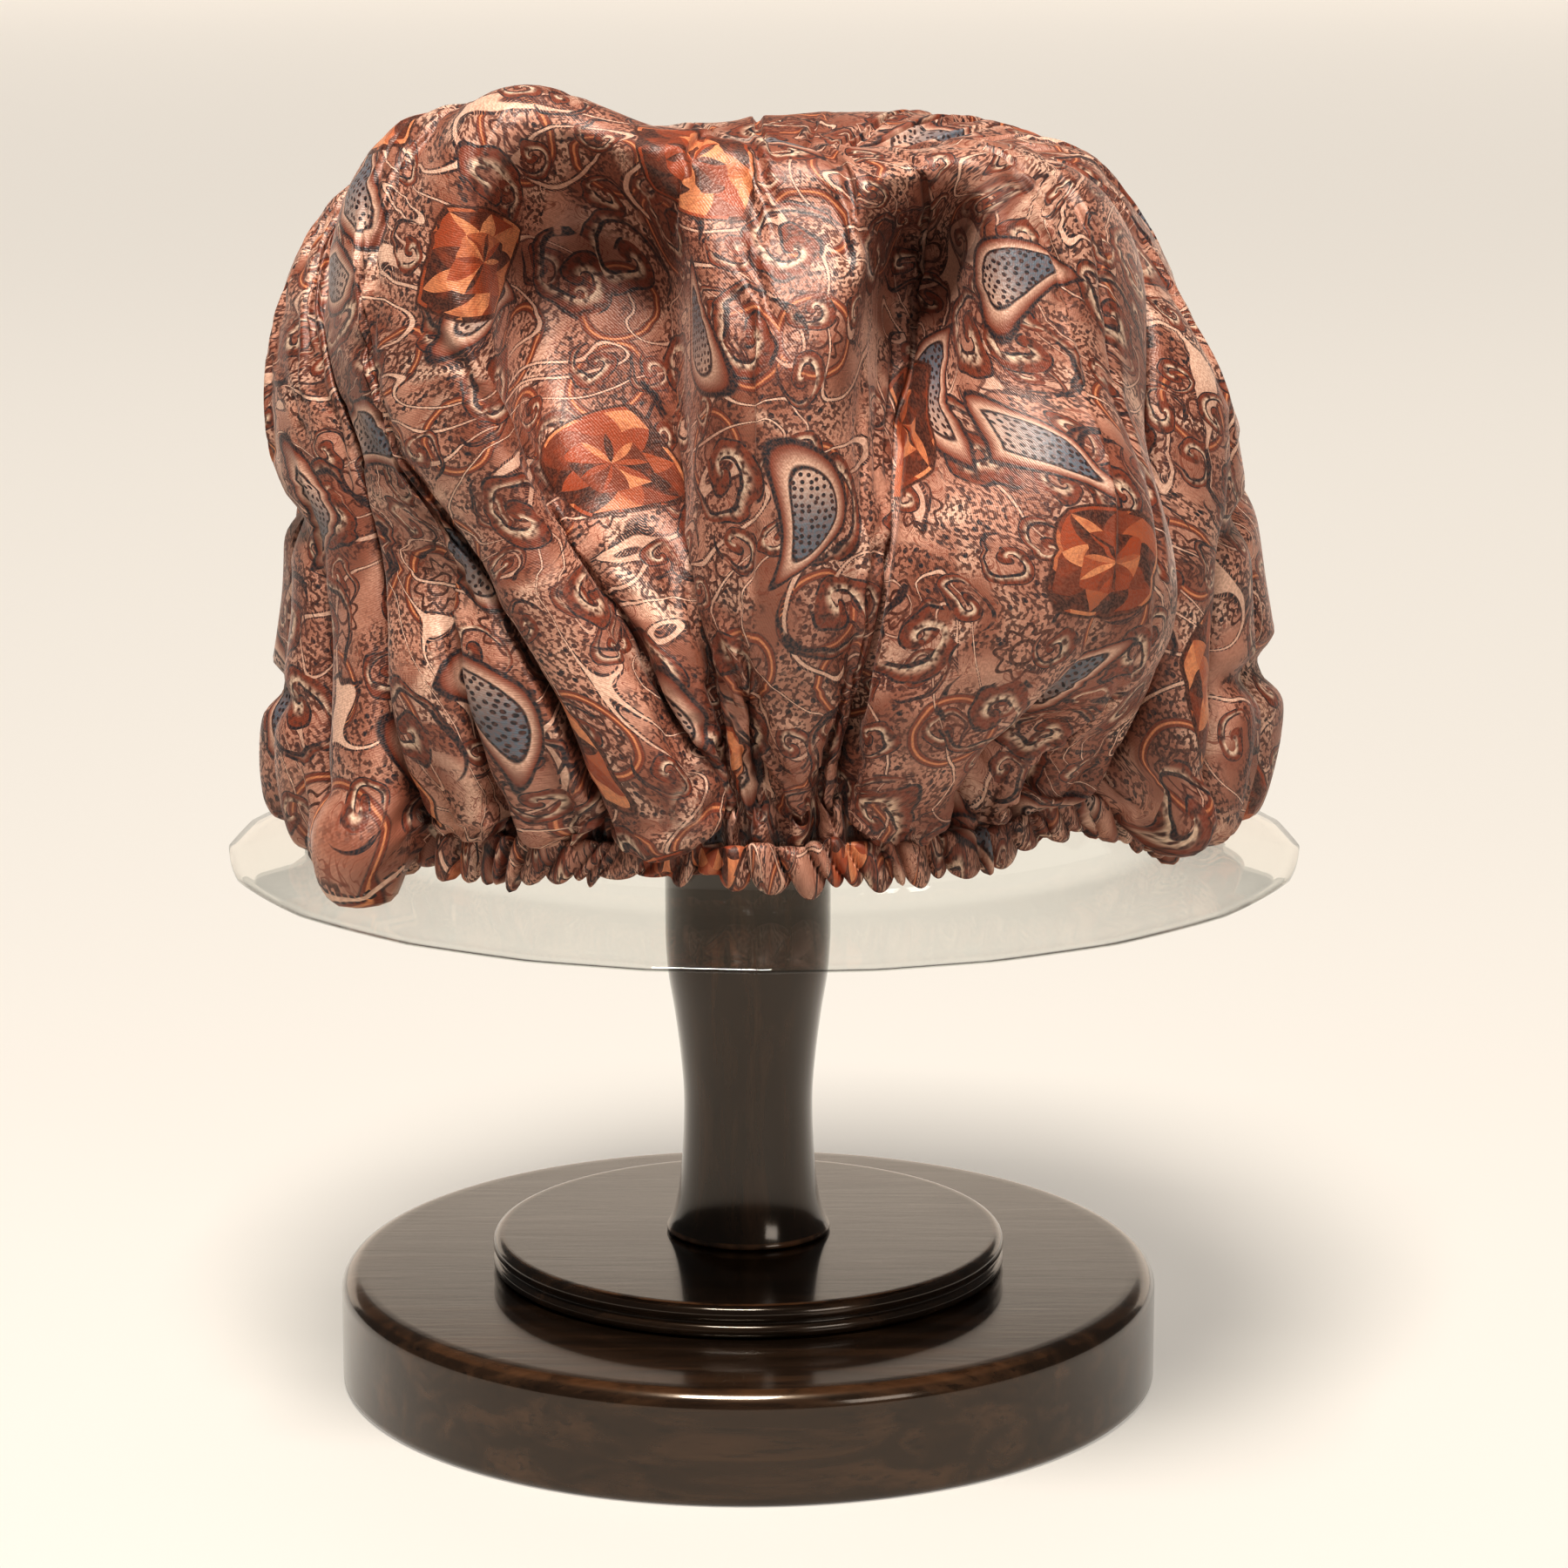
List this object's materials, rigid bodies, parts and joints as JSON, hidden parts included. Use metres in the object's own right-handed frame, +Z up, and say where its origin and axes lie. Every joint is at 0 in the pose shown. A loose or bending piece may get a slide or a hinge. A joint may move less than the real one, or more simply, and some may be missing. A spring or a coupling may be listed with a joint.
{
  "type": "silk sleep bonnet on a wooden hat stand",
  "caption": "Puffed silk sleep bonnet with deep folds and a gathered elastic hem, worn by a clear domed former on a turned wooden stand with a stepped round base.",
  "frame": {"origin": "middle of the base's flat underside, on the post's axis", "axes": "+Z up along the post, -Y towards the bonnet's front, +X to the right seen from the front"},
  "size_m": [0.2584, 0.2584, 0.3179],
  "materials": {
    "wood": "dark stained and varnished, glossy, worn lighter along the edges",
    "clear_plastic": "clear and glossy",
    "silk": "printed silk satin with a soft sheen",
    "silk_hem": "printed silk satin, tightly gathered"
  },
  "bodies": {
    "root": {"base_plate": "wood", "base_tier": "wood", "post": "wood", "clear_former": "clear_plastic", "silk_crown": "silk", "hem_casing": "silk_hem"}
  },
  "joints": []
}
